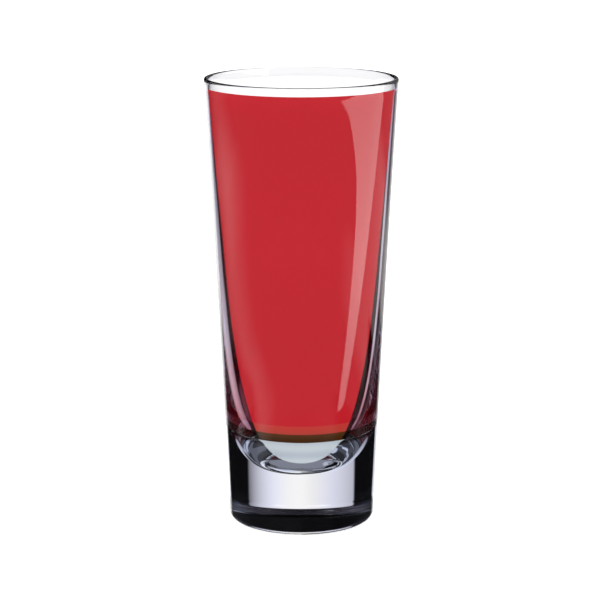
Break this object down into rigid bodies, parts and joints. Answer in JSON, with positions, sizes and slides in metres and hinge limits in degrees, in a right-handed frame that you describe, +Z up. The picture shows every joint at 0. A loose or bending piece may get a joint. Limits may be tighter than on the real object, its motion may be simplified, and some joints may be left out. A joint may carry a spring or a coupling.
{
  "type": "bloody caesar",
  "caption": "Tall tapered glass with a thick clear base, filled almost to the rim with a bright red layered drink.",
  "frame": {"origin": "middle of the glass's underside, on the surface that it stands on", "axes": "+Z up along the glass's axis; X and Y are level and alike, because the piece is round"},
  "size_m": [0.0706, 0.0706, 0.165],
  "materials": {
    "clear_glass": "polished clear glass",
    "clear_liquid": "clear liquid",
    "brown_liquid": "dark liquid, glossy",
    "orange_liquid": "opaque liquid, glossy",
    "red_liquid": "opaque tomato-red liquid, glossy"
  },
  "bodies": {
    "root": {"glass": "clear_glass", "drink_clear_layer": "clear_liquid", "drink_brown_layer": "brown_liquid", "drink_orange_layer": "orange_liquid", "drink_red": "red_liquid"}
  },
  "joints": []
}
